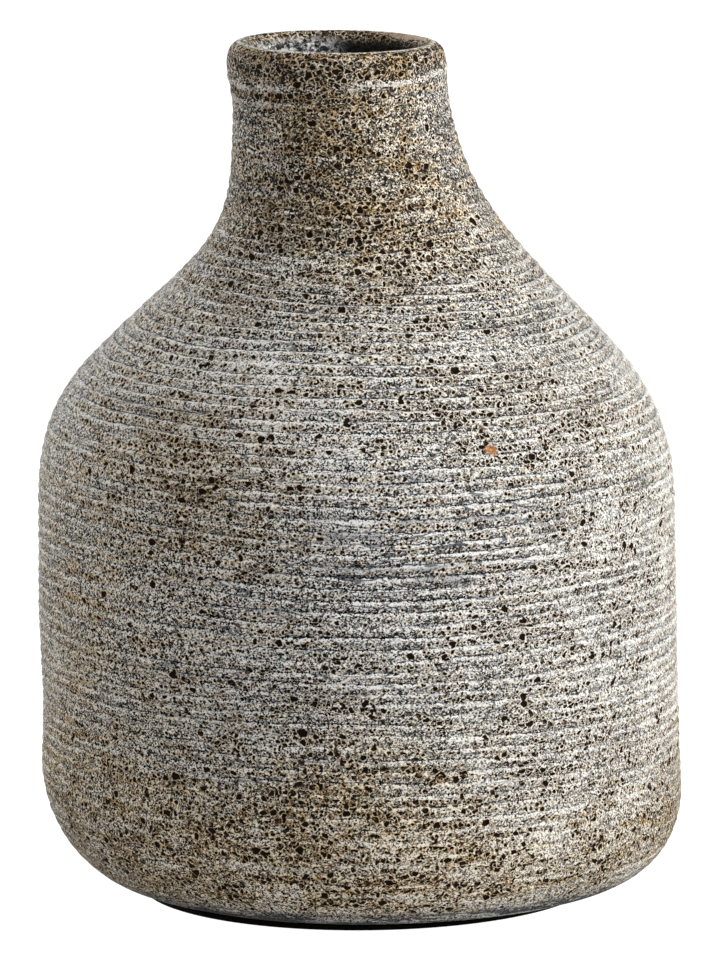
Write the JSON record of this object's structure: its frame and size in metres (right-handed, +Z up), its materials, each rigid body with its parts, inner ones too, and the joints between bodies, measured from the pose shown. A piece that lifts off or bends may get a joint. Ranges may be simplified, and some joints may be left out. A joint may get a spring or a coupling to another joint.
{
  "type": "bottle vase",
  "caption": "Hand-thrown stoneware bottle vase with a wide straight belly, sloping shoulder, narrow neck and rolled lip, in a pitted grey crater glaze; holds water and cut stems",
  "frame": {"origin": "on the table under the middle of the belly", "axes": "+Z up along the height, +X to the right of someone who faces the side in the picture, -Y towards them"},
  "size_m": [0.2231, 0.222, 0.2961],
  "materials": {
    "fired_clay": "bare fired stoneware",
    "crater_glaze": "matte pitted crater glaze over throwing rings",
    "liner_glaze": "satin liner glaze",
    "adhesive_film": "clear tape film",
    "black_rubber": "smooth black rubber"
  },
  "bodies": {
    "root": {"stoneware_body": "fired_clay", "outer_glaze": "crater_glaze", "liner_glaze": "liner_glaze", "foot_adhesive": "adhesive_film", "rubber_foot_ring": "black_rubber"}
  },
  "joints": []
}
